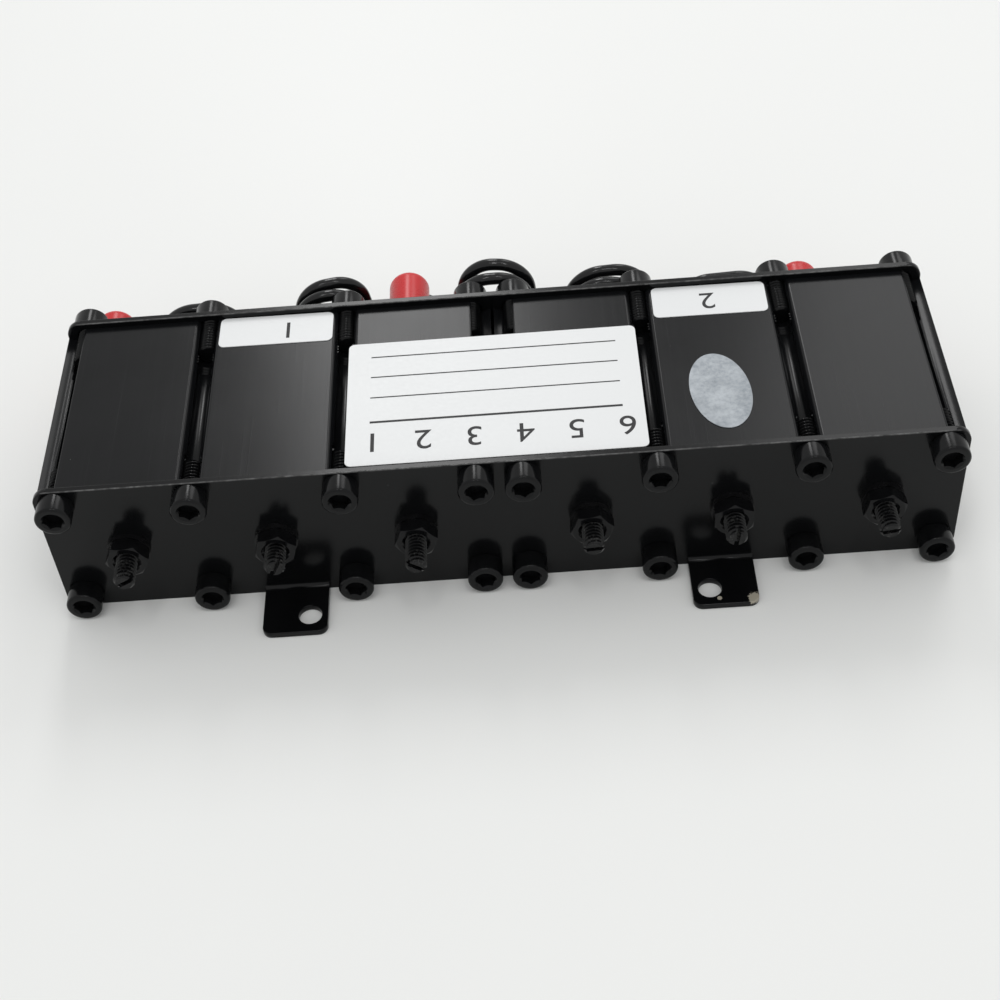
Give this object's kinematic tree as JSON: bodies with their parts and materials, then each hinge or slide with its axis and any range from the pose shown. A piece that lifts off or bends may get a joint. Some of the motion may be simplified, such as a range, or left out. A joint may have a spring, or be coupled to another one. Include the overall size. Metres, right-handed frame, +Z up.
{
  "type": "cavity duplexer",
  "caption": "Low black radio duplexer: extruded cavity case between end plates with tuning screws, mounting tabs, capped threaded ports and short coiled cables.",
  "frame": {"origin": "middle of the footprint on the resting plane, measured over the mounting tabs and the cables", "axes": "+X along the long side towards the transmit port, +Y towards the ports and cables, +Z up"},
  "size_m": [0.1736, 0.0807, 0.0318],
  "materials": {
    "case_black": "black anodised, satin",
    "plate_black": "black, semi-gloss",
    "screw_black": "black oxide, oiled",
    "collar_black": "black oxide",
    "tuning_black": "black oxide, worn thread crests",
    "nut_black": "black oxide",
    "plated_brass": "nickel plated",
    "silver_wire": "silver plated, bright",
    "white_insulator": "matt",
    "gold_plating": "gold plated",
    "cable_black": "glossy",
    "cap_red": "glossy, slightly see-through",
    "label_white": "satin",
    "sticker_silver": "satin silver"
  },
  "bodies": {
    "case": {"receive_cavity_block": "case_black", "transmit_cavity_block": "case_black", "front_plate": "plate_black", "back_plate": "plate_black", "front_plate_screws": "screw_black", "back_plate_screws": "screw_black", "tuning_collars": "collar_black", "cable_ferrules": "plated_brass", "connector_insulators": "white_insulator", "connector_contacts": "gold_plating", "connector_washers": "plated_brass", "connector_nuts": "plated_brass", "antenna_tee_wire": "silver_wire", "main_label": "label_white", "receive_port_label": "label_white", "transmit_port_label": "label_white", "oval_sticker": "sticker_silver", "resonator_coil_1": "silver_wire", "coupling_wire_1": "silver_wire", "resonator_coil_2": "silver_wire", "coupling_wire_2": "silver_wire", "resonator_coil_3": "silver_wire", "coupling_wire_3": "silver_wire", "resonator_coil_4": "silver_wire", "coupling_wire_4": "silver_wire", "resonator_coil_5": "silver_wire", "coupling_wire_5": "silver_wire", "resonator_coil_6": "silver_wire", "coupling_wire_6": "silver_wire", "cable_one_to_two": "cable_black", "cable_two_to_three": "cable_black", "cable_three_to_tee": "cable_black", "cable_tee_to_four": "cable_black", "cable_four_to_five": "cable_black", "cable_five_to_six": "cable_black", "receive_connector": "gold_plating", "antenna_connector": "gold_plating", "transmit_connector": "gold_plating"},
    "tuning_screw_1": {"tuning_screw_1": "tuning_black", "tuning_disc_1": "plated_brass"},
    "lock_nut_1": {"lock_nut_1": "nut_black"},
    "tuning_screw_2": {"tuning_screw_2": "tuning_black", "tuning_disc_2": "plated_brass"},
    "lock_nut_2": {"lock_nut_2": "nut_black"},
    "tuning_screw_3": {"tuning_screw_3": "tuning_black", "tuning_disc_3": "plated_brass"},
    "lock_nut_3": {"lock_nut_3": "nut_black"},
    "tuning_screw_4": {"tuning_screw_4": "tuning_black", "tuning_disc_4": "plated_brass"},
    "lock_nut_4": {"lock_nut_4": "nut_black"},
    "tuning_screw_5": {"tuning_screw_5": "tuning_black", "tuning_disc_5": "plated_brass"},
    "lock_nut_5": {"lock_nut_5": "nut_black"},
    "tuning_screw_6": {"tuning_screw_6": "tuning_black", "tuning_disc_6": "plated_brass"},
    "lock_nut_6": {"lock_nut_6": "nut_black"},
    "receive_dust_cap": {"receive_dust_cap": "cap_red"},
    "antenna_dust_cap": {"antenna_dust_cap": "cap_red"},
    "transmit_dust_cap": {"transmit_dust_cap": "cap_red"}
  },
  "joints": [
    {"name": "tuning_screw_1_travel", "type": "slide", "parent": "case", "child": "tuning_screw_1", "axis": [0, 1, 0], "range_m": [-0.0122, 0.00528]},
    {"name": "lock_nut_1_turn", "type": "hinge", "parent": "case", "child": "lock_nut_1", "pos_m": [-0.0717, -0.0311, 0.0155], "axis": [0, -1, 0], "range_deg": [0, 360]},
    {"name": "tuning_screw_2_travel", "type": "slide", "parent": "case", "child": "tuning_screw_2", "axis": [0, 1, 0], "range_m": [-0.0132, 0.00428]},
    {"name": "lock_nut_2_turn", "type": "hinge", "parent": "case", "child": "lock_nut_2", "pos_m": [-0.04335, -0.0311, 0.0155], "axis": [0, -1, 0], "range_deg": [0, 360]},
    {"name": "tuning_screw_3_travel", "type": "slide", "parent": "case", "child": "tuning_screw_3", "axis": [0, 1, 0], "range_m": [-0.0114, 0.00608]},
    {"name": "lock_nut_3_turn", "type": "hinge", "parent": "case", "child": "lock_nut_3", "pos_m": [-0.01665, -0.0311, 0.0155], "axis": [0, -1, 0], "range_deg": [0, 360]},
    {"name": "tuning_screw_4_travel", "type": "slide", "parent": "case", "child": "tuning_screw_4", "axis": [0, 1, 0], "range_m": [-0.0129, 0.00458]},
    {"name": "lock_nut_4_turn", "type": "hinge", "parent": "case", "child": "lock_nut_4", "pos_m": [0.01665, -0.0311, 0.0155], "axis": [0, -1, 0], "range_deg": [0, 360]},
    {"name": "tuning_screw_5_travel", "type": "slide", "parent": "case", "child": "tuning_screw_5", "axis": [0, 1, 0], "range_m": [-0.0129, 0.00458]},
    {"name": "lock_nut_5_turn", "type": "hinge", "parent": "case", "child": "lock_nut_5", "pos_m": [0.04335, -0.0311, 0.0155], "axis": [0, -1, 0], "range_deg": [0, 360]},
    {"name": "tuning_screw_6_travel", "type": "slide", "parent": "case", "child": "tuning_screw_6", "axis": [0, 1, 0], "range_m": [-0.0123, 0.00518]},
    {"name": "lock_nut_6_turn", "type": "hinge", "parent": "case", "child": "lock_nut_6", "pos_m": [0.0717, -0.0311, 0.0155], "axis": [0, -1, 0], "range_deg": [0, 360]},
    {"name": "receive_dust_cap_pull", "type": "slide", "parent": "case", "child": "receive_dust_cap", "axis": [0, 1, 0], "range_m": [0, 0.018]},
    {"name": "antenna_dust_cap_pull", "type": "slide", "parent": "case", "child": "antenna_dust_cap", "axis": [0, 1, 0], "range_m": [0, 0.018]},
    {"name": "transmit_dust_cap_pull", "type": "slide", "parent": "case", "child": "transmit_dust_cap", "axis": [0, 1, 0], "range_m": [0, 0.018]}
  ]
}
